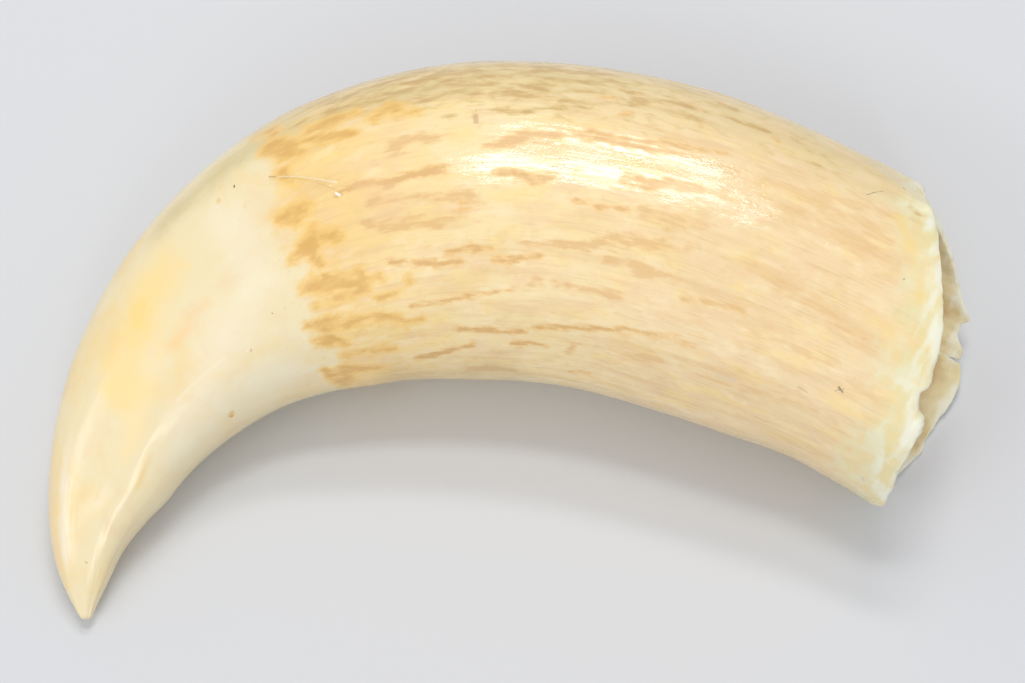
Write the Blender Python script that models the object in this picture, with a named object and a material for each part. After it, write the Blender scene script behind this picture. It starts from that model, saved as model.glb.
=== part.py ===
"""Sperm whale tooth, polished, lying on its flat side with its broken, open root.

The tooth is one loft. Its rings run from the blunt tip along a curved centre line to the broken rim,
over the rim, and back inside along the open pulp cavity to the cavity's deepest point.
Angles round a ring: 0 is the outer curve, 90 the upper flat side, 180 the inner curve, 270 the lower side.
Metres and degrees, +Z up. The origin is under the middle of the tooth, on the surface that it lies on.
"""

import math

import bmesh
import bpy
import numpy as np
from mathutils import Matrix, Vector

# Centre line: from the root to the tip, in the plane of the tooth's curve
CENTRE_LINE_LENGTH = 0.1885
ROOT_HEADING = 152.7
# (share of the length from the root, bend in radians per metre)
BEND = ((0.0, -1.2), (0.2, 6.5), (0.4, 11.4), (0.6, 14.5), (0.8, 16.0), (1.0, 16.0))

# Cross-section: an oval with slightly full corners
# (share of the length, half of the width across the curve)
HALF_WIDTH = (
    (0.0, 0.02585),
    (0.12, 0.02715),
    (0.25, 0.02825),
    (0.4, 0.0282),
    (0.55, 0.0257),
    (0.7, 0.0192),
    (0.8, 0.01395),
    (0.88, 0.0096),
    (0.95, 0.0055),
    (1.0, 0.0008),
)
THICKNESS_SHARE = 0.80
# (share of the length, exponent of the oval: 2 is an ellipse, more is squarer)
FULLNESS = ((0.0, 2.2), (0.55, 2.2), (0.8, 2.5), (1.0, 2.6))
TIP_RADIUS = 0.0013

# Inner curve: flare at the root's corner and worn facet near the tip
# (share of the length, depth taken off; below 0 it stands proud)
INNER_SIDE = (
    (-0.05, -0.00215),
    (0.0, -0.0006),
    (0.06, 0.0005),
    (0.13, 0.0),
    (0.70, 0.0),
    (0.78, -0.0005),
    (0.84, -0.0008),
    (0.87, -0.0011),
    (0.90, -0.0002),
    (0.94, 0.00095),
    (0.975, 0.0004),
    (1.0, 0.0),
)

# Broken rim: (angle, how far the wall runs past the end of the centre line)
RIM_RUN = (
    (0, -0.0087),
    (14, -0.0099),
    (24, -0.0092),
    (36, -0.0080),
    (42, -0.0069),
    (55, -0.0042),
    (68, -0.0017),
    (80, 0.0011),
    (89, 0.0031),
    (96, 0.0040),
    (103, 0.0043),
    (108, 0.0050),
    (112, 0.0045),
    (117, 0.0044),
    (123, 0.0061),
    (135, 0.0064),
    (153, 0.0063),
    (166, 0.0075),
    (178, 0.0076),
    (192, 0.0068),
    (208, 0.0070),
    (225, 0.0082),
    (233, 0.0093),
    (239, 0.0102),
    (244, 0.0108),
    (250, 0.0104),
    (259, 0.0109),
    (268, 0.0117),
    (275, 0.0118),
    (279, 0.0110),
    (283, 0.0091),
    (287, 0.0092),
    (293, 0.0073),
    (297, 0.0075),
    (300, 0.0083),
    (309, 0.0054),
    (317, 0.0032),
    (324, 0.0015),
    (331, -0.0006),
    (336, -0.0023),
    (348, -0.0057),
    (360, -0.0087),
)
RIM_FADE_LENGTH = 0.070
RIM_WALL = 0.0018
RIM_ROUNDING = 0.0008

# Flat bevel ground on the rim's corner at the outer curve
BEVEL_ANGLE = 36.0
BEVEL_SLOPE = 7.0
BEVEL_DEPTH = 0.0006

# Pulp cavity: narrows from the rim to a blunt end
CAVITY_DEPTH = 0.062
CAVITY_TAPER = 1.4
CAVITY_END_SHARE = 0.03

# How the tooth lies: rolled about a level axis until its belly and the rim's lower edge carry it
REST_ROLL = 14.0
REST_AXIS_HEADING = -13.2
REST_FLAT_DEPTH = 0.0003

# Rings: (distance from the rim, number of rings up to there)
SIDES = 64
OUTER_RINGS = ((0.0120, 8), (0.1600, 29), (0.1780, 7), (0.1868, 6))
TIP_RING_SHARES = (0.75, 0.35, 0.12, 0.03)
CAVITY_RINGS = 20

TOOTH_COLOUR = (0.83, 0.67, 0.42, 1.0)
TOOTH_ROUGHNESS = 0.28


def smooth_through(points, at):
    """Value at each place of a smooth curve through the points, with no overshoot between them."""
    x, y = np.array(points, float).T
    gap = np.diff(x)
    slope = np.diff(y) / gap
    tangent = np.zeros(len(x))
    tangent[0], tangent[-1] = slope[0], slope[-1]
    for i in range(1, len(x) - 1):
        if slope[i - 1] * slope[i] > 0:
            before, after = gap[i] * 2 + gap[i - 1], gap[i] + gap[i - 1] * 2
            tangent[i] = (before + after) / (before / slope[i - 1] + after / slope[i])
    at = np.clip(at, x[0], x[-1])
    i = np.clip(np.searchsorted(x, at, side="right") - 1, 0, len(gap) - 1)
    t = (at - x[i]) / gap[i]
    ends = y[i] * (1 + 2 * t) * (1 - t) ** 2 + y[i + 1] * t**2 * (3 - 2 * t)
    tangents = tangent[i] * t * (1 - t) ** 2 + tangent[i + 1] * t**2 * (t - 1)
    return ends + tangents * gap[i]


def running_sum(values, step):
    """Integral of evenly spaced values, by the trapezium rule, from 0."""
    return np.concatenate([[0.0], np.cumsum((values[1:] + values[:-1]) / 2 * step)])


def centre_line(steps=400):
    """Distance from the root, x, y and heading along the centre line."""
    s = np.linspace(0.0, CENTRE_LINE_LENGTH, steps + 1)
    step = s[1]
    bend = smooth_through(BEND, s / CENTRE_LINE_LENGTH)
    heading = math.radians(ROOT_HEADING) + running_sum(bend, step)
    return s, running_sum(np.cos(heading), step), running_sum(np.sin(heading), step), heading


def half_width(along):
    """Half-width at distances from the root; past the root it keeps its slope, and the tip is a ball."""
    slope = (HALF_WIDTH[1][1] - HALF_WIDTH[0][1]) / (HALF_WIDTH[1][0] * CENTRE_LINE_LENGTH)
    width = smooth_through(HALF_WIDTH, along / CENTRE_LINE_LENGTH) + np.minimum(along, 0.0) * slope
    left = np.clip(CENTRE_LINE_LENGTH - along, 0.0, None)
    ball = np.sqrt(np.clip(2 * TIP_RADIUS * left - left**2, 0.0, None))
    return np.where(left < TIP_RADIUS / 2, np.minimum(width, ball), width)


def skin(along, angle, inset=0.0):
    """Points of the outer skin, or of a wall inset under it, and the centre of each."""
    s, x, y, heading = centre_line()
    past_root = np.minimum(along, 0.0)
    cx = np.interp(along, s, x) + math.cos(heading[0]) * past_root
    cy = np.interp(along, s, y) + math.sin(heading[0]) * past_root
    turn = np.interp(along, s, heading)
    share = along / CENTRE_LINE_LENGTH
    inner_side = np.clip(-np.cos(angle), 0.0, 1.0) ** 2
    radius = half_width(along) - smooth_through(INNER_SIDE, share) * inner_side - inset
    radius = np.clip(radius, 0.0, None)
    power = 2 / smooth_through(FULLNESS, share)
    across = radius * np.sign(np.cos(angle)) * np.abs(np.cos(angle)) ** power
    up = radius * np.sign(np.sin(angle)) * np.abs(np.sin(angle)) ** power * THICKNESS_SHARE
    points = np.stack([cx + across * np.sin(turn), cy - across * np.cos(turn), up], -1)
    return points, np.stack([cx, cy, np.zeros_like(cx)], -1)


def rim_run(angle):
    """How far the broken wall runs past the end of the centre line, round the ring."""
    degrees, run = np.array(RIM_RUN, float).T
    return np.interp(np.degrees(angle), degrees, run)


def ring_place(from_rim, angle):
    """Distance along the centre line of a ring that starts level with the rim and evens out beyond it."""
    fade = np.clip(1 - from_rim / RIM_FADE_LENGTH, 0.0, 1.0) ** 2
    return from_rim - rim_run(angle) * fade


def bevelled(points):
    """The points, with what stands past the bevel's plane moved onto it."""
    rim_angle = np.array([math.radians(BEVEL_ANGLE)])
    corner, centre = skin(-rim_run(rim_angle), rim_angle)
    outward = (corner - centre)[0]
    outward /= np.linalg.norm(outward)
    heading = math.radians(ROOT_HEADING)
    rootward = np.array([-math.cos(heading), -math.sin(heading), 0.0])
    normal = outward * math.cos(math.radians(BEVEL_SLOPE)) + rootward * math.sin(math.radians(BEVEL_SLOPE))
    past = (points - corner[0]) @ normal + BEVEL_DEPTH
    return points - np.clip(past, 0.0, None)[..., None] * normal


def outer_rings(angle):
    """Rings of the outer skin, from the rim's rounded edge to just short of the tip."""
    places, start = [], RIM_ROUNDING
    for end, count in OUTER_RINGS:
        places.extend(np.linspace(start, end, count, endpoint=False))
        start = end
    places.append(start)
    places.extend(CENTRE_LINE_LENGTH - TIP_RADIUS * share for share in TIP_RING_SHARES)
    rings = [skin(ring_place(place, angle), angle)[0] for place in places]
    return [bevelled(ring) for ring in rings]


def rim_rings(angle):
    """Rings over the rounded edge, from the inside of the wall to its outside."""
    middle = RIM_WALL / 2
    inside, _ = skin(ring_place(RIM_ROUNDING / 4, angle), angle, RIM_WALL - RIM_ROUNDING / 3)
    crest, _ = skin(ring_place(0.0, angle), angle, middle)
    outside, _ = skin(ring_place(RIM_ROUNDING / 4, angle), angle, RIM_ROUNDING / 3)
    return [inside, crest, bevelled(outside)]


def cavity_rings(angle):
    """Rings of the pulp cavity, from its deepest point out to the rim."""
    rings = []
    for depth in np.linspace(1.0, 0.0, CAVITY_RINGS):
        from_rim = RIM_ROUNDING + (CAVITY_DEPTH - RIM_ROUNDING) * depth
        wall, centre = skin(ring_place(from_rim, angle), angle, RIM_WALL)
        share = max(1 - depth**CAVITY_TAPER, CAVITY_END_SHARE)
        rings.append(centre + (wall - centre) * share)
    return rings


def laid_down(points):
    """The points turned to how the tooth lies, with the flats that it rests on, over the origin."""
    axis_heading = math.radians(REST_AXIS_HEADING)
    axis = Vector((math.cos(axis_heading), math.sin(axis_heading), 0.0))
    turn = np.array(Matrix.Rotation(math.radians(REST_ROLL), 3, axis))
    points = points @ turn.T
    points[:, 2] -= points[:, 2].min() + REST_FLAT_DEPTH
    points[:, 2] = np.clip(points[:, 2], 0.0, None)
    points[:, :2] -= (points[:, :2].min(axis=0) + points[:, :2].max(axis=0)) / 2
    return points


def lofted(rings, first_point, last_point, name):
    """Mesh that joins each ring to the next and closes both ends on a point."""
    points = np.concatenate([first_point[None], *rings, last_point[None]])
    bm = bmesh.new()
    verts = [bm.verts.new(point) for point in laid_down(points)]
    loops = [verts[1 + i * SIDES : 1 + (i + 1) * SIDES] for i in range(len(rings))]
    for near, far in zip(loops, loops[1:]):
        for i in range(SIDES):
            j = (i + 1) % SIDES
            bm.faces.new((near[i], near[j], far[j], far[i]))
    for i in range(SIDES):
        j = (i + 1) % SIDES
        bm.faces.new((verts[0], loops[0][j], loops[0][i]))
        bm.faces.new((verts[-1], loops[-1][i], loops[-1][j]))
    bmesh.ops.recalc_face_normals(bm, faces=bm.faces)
    mesh = bpy.data.meshes.new(name)
    bm.to_mesh(mesh)
    bm.free()
    mesh.shade_smooth()
    return mesh


def tooth_material():
    """Polished dentine and cementum, warm ivory."""
    material = bpy.data.materials.new("polished_tooth")
    material.use_nodes = True
    shader = material.node_tree.nodes["Principled BSDF"]
    shader.inputs["Base Color"].default_value = TOOTH_COLOUR
    shader.inputs["Roughness"].default_value = TOOTH_ROUGHNESS
    shader.inputs["Metallic"].default_value = 0.0
    return material


def build_tooth(collection):
    """The tooth as one closed body."""
    angle = np.linspace(0.0, 2 * math.pi, SIDES, endpoint=False)
    inner = cavity_rings(angle)
    rings = [*inner, *rim_rings(angle), *outer_rings(angle)]
    tip_angle = np.zeros(1)
    tip, _ = skin(np.array([CENTRE_LINE_LENGTH]), tip_angle)
    mesh = lofted(rings, inner[0].mean(axis=0), tip[0], "tooth")
    mesh.materials.append(tooth_material())
    tooth = bpy.data.objects.new("tooth", mesh)
    collection.objects.link(tooth)
    return tooth


def main():
    for old in list(bpy.data.objects):
        bpy.data.objects.remove(old)
    collection = bpy.data.collections.new("sperm_whale_tooth")
    bpy.context.scene.collection.children.link(collection)
    build_tooth(collection)


main()
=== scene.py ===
"""Looks of a sperm whale tooth, polished, lying on its flat side with its broken, open root.

Lengths inside the tooth's classes are millimetres and angles are degrees. Finished meshes are in metres.
A place on the tooth is (along, round). Along runs up the centre line from the root to the tip, and is
below 0 where the broken wall runs past the centre line's end. Round goes round the cross-section:
0 is the outer curve, 90 the upper flat side, 180 the inner curve and 270 the lower side.
"""

import logging
import math
from dataclasses import dataclass, field
from enum import Enum
from functools import reduce

import bpy
import numpy as np
from mathutils import Matrix, Vector, noise


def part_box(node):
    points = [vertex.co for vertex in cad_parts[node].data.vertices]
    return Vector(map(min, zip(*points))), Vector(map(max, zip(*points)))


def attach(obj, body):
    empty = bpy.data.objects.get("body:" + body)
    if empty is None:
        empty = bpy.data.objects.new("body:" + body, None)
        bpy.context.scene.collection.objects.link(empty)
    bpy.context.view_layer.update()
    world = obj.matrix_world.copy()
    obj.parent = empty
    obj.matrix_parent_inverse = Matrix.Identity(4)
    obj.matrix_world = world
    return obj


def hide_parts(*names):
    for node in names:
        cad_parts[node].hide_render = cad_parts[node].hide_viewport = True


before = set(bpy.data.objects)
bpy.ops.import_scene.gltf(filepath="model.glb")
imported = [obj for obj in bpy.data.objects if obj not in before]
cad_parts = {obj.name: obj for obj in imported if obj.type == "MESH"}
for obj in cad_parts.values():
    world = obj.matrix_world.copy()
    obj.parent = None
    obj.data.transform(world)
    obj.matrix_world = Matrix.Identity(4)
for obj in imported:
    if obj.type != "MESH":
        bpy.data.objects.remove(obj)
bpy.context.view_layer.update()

log = logging.getLogger("tooth")

METRES = 0.001

ROOT_RADIUS = 25.85

Array = np.ndarray
Pair = tuple[float, float]
Triple = tuple[float, float, float]
Pairs = tuple[Pair, ...]
Triples = tuple[Triple, ...]
Tone = tuple[int, int, int]
Step = tuple[float, ...]
Swings = tuple[tuple[str, float], ...]


@dataclass(frozen=True)
class SmoothLine:
    """A smooth curve through a few points, with no overshoot between them."""

    points: Pairs

    def at(self, place: Array) -> Array:
        """Reads the curve.

        Args:
            place: Where to read it. Beyond the first and last point it stays level.

        Returns:
            The curve's height at each place.
        """
        x, y = np.array(self.points, float).T
        gap = np.diff(x)
        slope = np.diff(y) / gap
        tangent = np.zeros(len(x))
        tangent[0], tangent[-1] = slope[0], slope[-1]
        for i in range(1, len(x) - 1):
            if slope[i - 1] * slope[i] > 0:
                before, after = gap[i] * 2 + gap[i - 1], gap[i] + gap[i - 1] * 2
                tangent[i] = (before + after) / (before / slope[i - 1] + after / slope[i])
        place = np.clip(place, x[0], x[-1])
        i = np.clip(np.searchsorted(x, place, side="right") - 1, 0, len(gap) - 1)
        t = (place - x[i]) / gap[i]
        ends = y[i] * (1 + 2 * t) * (1 - t) ** 2 + y[i + 1] * t**2 * (3 - 2 * t)
        tangents = tangent[i] * t * (1 - t) ** 2 + tangent[i + 1] * t**2 * (t - 1)
        return ends + tangents * gap[i]


def eased(value: Array, start: float, end: float) -> Array:
    """Share from 0 at start to 1 at end, with soft ends.

    Args:
        value: What is measured.
        start: Value that gives 0.
        end: Value that gives 1. It may lie below start.

    Returns:
        The share for each value.
    """
    share = np.clip((value - start) / (end - start), 0.0, 1.0)
    return share * share * (3 - 2 * share)


def rippled(places: Array, size: Triple, octaves: int = 1) -> Array:
    """Smooth random ripples through space, the same on each run.

    Args:
        places: Points, with x, y and z last.
        size: How wide one ripple is along each axis.
        octaves: Layers of ever finer ripples.

    Returns:
        A height for each point, mostly between -1 and 1.
    """
    scaled = (places / np.array(size)).reshape(-1, 3)
    heights = [noise.fractal(Vector(point), 1.0, 2.0, octaves) for point in scaled]
    return np.array(heights).reshape(places.shape[:-1])


@dataclass(frozen=True)
class CentreLine:
    """Curved axis of the tooth, flat in the plane of the curve.

    The bend is (share of the length from the root, radians per metre).
    """

    length: float = 188.5
    root_heading: float = 152.7
    bend: SmoothLine = SmoothLine(
        ((0.0, -1.2), (0.2, 6.5), (0.4, 11.4), (0.6, 14.5), (0.8, 16.0), (1.0, 16.0))
    )
    steps: int = 400

    def places(self, along: Array) -> tuple[Array, Array, Array]:
        """Follows the centre line, straight on past the root.

        Args:
            along: Distances from the root.

        Returns:
            x, y and heading in radians at each distance.
        """
        s = np.linspace(0.0, self.length, self.steps + 1)
        heading = math.radians(self.root_heading) + self.summed(self.bend.at(s / self.length) * METRES, s[1])
        x = self.summed(np.cos(heading), s[1])
        y = self.summed(np.sin(heading), s[1])
        past_root = np.minimum(along, 0.0)
        return (
            np.interp(along, s, x) + math.cos(heading[0]) * past_root,
            np.interp(along, s, y) + math.sin(heading[0]) * past_root,
            np.interp(along, s, heading),
        )

    @staticmethod
    def summed(values: Array, step: float) -> Array:
        """Running integral of evenly spaced values, by the trapezium rule, from 0."""
        return np.concatenate([[0.0], np.cumsum((values[1:] + values[:-1]) / 2 * step)])


@dataclass(frozen=True)
class CrossSection:
    """Oval section of the tooth at each share of its length from the root.

    Fullness is the oval's exponent: 2 is an ellipse, and more is squarer. Inner side is the depth that the
    worn facets of the inner curve take off; below 0 they stand proud.
    """

    half_width: SmoothLine = SmoothLine(
        (
            (0.0, ROOT_RADIUS), (0.12, 27.15), (0.25, 28.25), (0.4, 28.2), (0.55, 25.7), (0.7, 19.2),
            (0.8, 13.95), (0.88, 9.6), (0.95, 5.5), (1.0, 0.8),
        )
    )
    fullness: SmoothLine = SmoothLine(((0.0, 2.2), (0.55, 2.2), (0.8, 2.5), (1.0, 2.6)))
    inner_side: SmoothLine = SmoothLine(
        (
            (-0.05, -2.15), (0.0, -0.6), (0.06, 0.5), (0.13, 0.0), (0.70, 0.0), (0.78, -0.5), (0.84, -0.8),
            (0.87, -1.1), (0.90, -0.2), (0.94, 0.95), (0.975, 0.4), (1.0, 0.0),
        )
    )
    thickness_share: float = 0.80
    tip_radius: float = 1.3

    def half_widths(self, along: Array, length: float) -> Array:
        """Half of the width across the curve.

        Args:
            along: Distances from the root. Past the root the width keeps its slope.
            length: Length of the centre line, where the tip ends in a ball.

        Returns:
            The half-width at each distance.
        """
        (_, first), (share, second) = self.half_width.points[:2]
        slope = (second - first) / (share * length)
        width = self.half_width.at(along / length) + np.minimum(along, 0.0) * slope
        left = np.clip(length - along, 0.0, None)
        ball = np.sqrt(np.clip(2 * self.tip_radius * left - left**2, 0.0, None))
        return np.where(left < self.tip_radius / 2, np.minimum(width, ball), width)

    def oval(
        self, along: Array, turn: Array, length: float, inset: Array
    ) -> tuple[Array, Array]:
        """Points of the section's outline.

        Args:
            along: Distances from the root.
            turn: Angles round the section, in radians.
            length: Length of the centre line.
            inset: How far inside the skin the outline lies.

        Returns:
            Offsets across the curve, outward, and up.
        """
        share = along / length
        inner = self.inner_side.at(share) * np.clip(-np.cos(turn), 0.0, 1.0) ** 2
        radius = np.clip(self.half_widths(along, length) - inner - inset, 0.0, None)
        power = 2 / self.fullness.at(share)
        across = radius * np.sign(np.cos(turn)) * np.abs(np.cos(turn)) ** power
        up = radius * np.sign(np.sin(turn)) * np.abs(np.sin(turn)) ** power * self.thickness_share
        return across, up


@dataclass(frozen=True)
class BrokenRim:
    """Broken end of the root: how far the wall runs past the centre line's end at each angle."""

    run: Pairs = (
        (0, -8.7), (14, -9.9), (24, -9.2), (36, -8.0), (42, -6.9), (55, -4.2), (68, -1.7), (80, 1.1),
        (89, 3.1), (96, 4.0), (103, 4.3), (107, 5.0), (109.5, 4.9), (112.5, 4.2), (116, 4.6), (119, 5.2),
        (121, 6.5), (124, 6.9), (134, 7.1), (149, 6.8), (159, 7.4), (178, 7.7), (192, 6.8), (208, 7.0),
        (225, 8.2), (233, 9.3), (239, 10.2), (244, 10.8), (250, 10.4), (259, 10.9), (268, 11.7),
        (275, 11.8), (279, 11.0), (282, 10.0), (283, 7.6), (284, 9.6), (287, 9.6), (293, 7.5), (298, 7.4),
        (301.5, 8.6), (309, 5.4), (317, 3.2), (324, 1.5), (331, -0.6), (336, -2.3), (348, -5.7),
        (360, -8.7),
    )
    fade_length: float = 70.0
    wall: float = 1.8
    rounding: float = 0.55
    edge_fullness: float = 2.8
    chip_size: float = 1.3
    chip_depth: float = 0.22
    worn_length: float = 1.4
    worn_depth: float = 0.25
    bevel_angle: float = 36.0
    bevel_slope: float = 7.0
    bevel_depth: float = 0.6

    def run_at(self, round_: Array) -> Array:
        """How far the wall runs, without its small chips, at each angle."""
        degrees, run = np.array(self.run, float).T
        return np.interp(round_ % 360, degrees, run)

    def chips(self, round_: Array, radius: float) -> Array:
        """Small chips and steps of the broken edge.

        Args:
            round_: Angles round the rim.
            radius: Radius of the rim, which sets how many chips go round it.

        Returns:
            How far each place of the edge is broken back.
        """
        turn = np.radians(round_)
        ring = np.stack([np.cos(turn) * radius, np.sin(turn) * radius, np.zeros_like(turn)], -1)
        rough = rippled(ring, (self.chip_size,) * 3, 3)
        return np.clip(rough, 0.0, None) * self.chip_depth

    def along(self, from_rim: Array, round_: Array, radius: float) -> Array:
        """Distance from the root of rings that start level with the rim and even out beyond it.

        Args:
            from_rim: Distance of each ring from the rim.
            round_: Angles round the ring.
            radius: Radius of the rim.

        Returns:
            Distances along the centre line, one row a ring.
        """
        fade = np.clip(1 - from_rim / self.fade_length, 0.0, 1.0) ** 2
        chip_fade = np.clip(1 - from_rim / (self.chip_size * 2), 0.0, 1.0)
        return from_rim - self.run_at(round_) * fade + self.chips(round_, radius) * chip_fade


@dataclass(frozen=True)
class PulpCavity:
    """Open hollow of the root, which narrows from the rim to a blunt end."""

    depth: float = 62.0
    taper: float = 1.4
    end_share: float = 0.03
    mouth_length: float = 14.0
    mouth_rings: int = 18
    deep_rings: int = 16
    lump_size: Triple = (9.0, 4.0, 4.0)
    lump_height: float = 0.45
    grain_size: Triple = (5.0, 1.4, 1.4)
    grain_height: float = 0.10

    def depths(self, start: float) -> Array:
        """Distances from the rim of the cavity's rings, deepest first.

        Args:
            start: Distance of the first ring inside the rim.

        Returns:
            The distances, close together near the mouth.
        """
        mouth = np.linspace(start, self.mouth_length, self.mouth_rings, endpoint=False)
        deep = np.linspace(self.mouth_length, self.depth, self.deep_rings)
        return np.concatenate([mouth, deep])[::-1]

    def share(self, from_rim: Array) -> Array:
        """How much of the full inner width is left at each distance from the rim."""
        return np.maximum(1 - (from_rim / self.depth) ** self.taper, self.end_share)


class Stain(Enum):
    """Kinds of mark that the polished root shows, each under the name of its mesh attribute."""

    BOLD_STREAK = "bold_streak"
    SOFT_STREAK = "soft_streak"
    FRINGE = "fringe"
    OLIVE = "olive"


STROKE_FLOOR = -4.0


@dataclass(frozen=True)
class Stroke:
    """One listed stroke of a stain. Its points are (along, round, half-width)."""

    points: Triples
    softness: float = 0.9

    def strength(self, along: Array, round_: Array, arc: Array) -> Array:
        """How deep in the stroke each place lies.

        Args:
            along: Distances from the root.
            round_: Angles round the section.
            arc: Length of one degree round the section there.

        Returns:
            0 on the stroke's edge, above 0 inside it, and below 0 outside it, down to the floor. It
            changes by 1 over the softness.
        """
        best = np.full(along.shape, STROKE_FLOOR)
        points = self.points if len(self.points) > 1 else self.points * 2
        for (a0, r0, w0), (a1, r1, w1) in zip(points, points[1:]):
            x, y = along - a0, ((round_ - r0 + 180) % 360 - 180) * arc
            dx, dy = a1 - a0, (r1 - r0) * arc
            t = np.clip((x * dx + y * dy) / (dx * dx + dy * dy + 1e-9), 0.0, 1.0)
            distance = np.hypot(x - dx * t, y - dy * t)
            best = np.maximum(best, (w0 + (w1 - w0) * t - distance) / self.softness)
        return best


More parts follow.
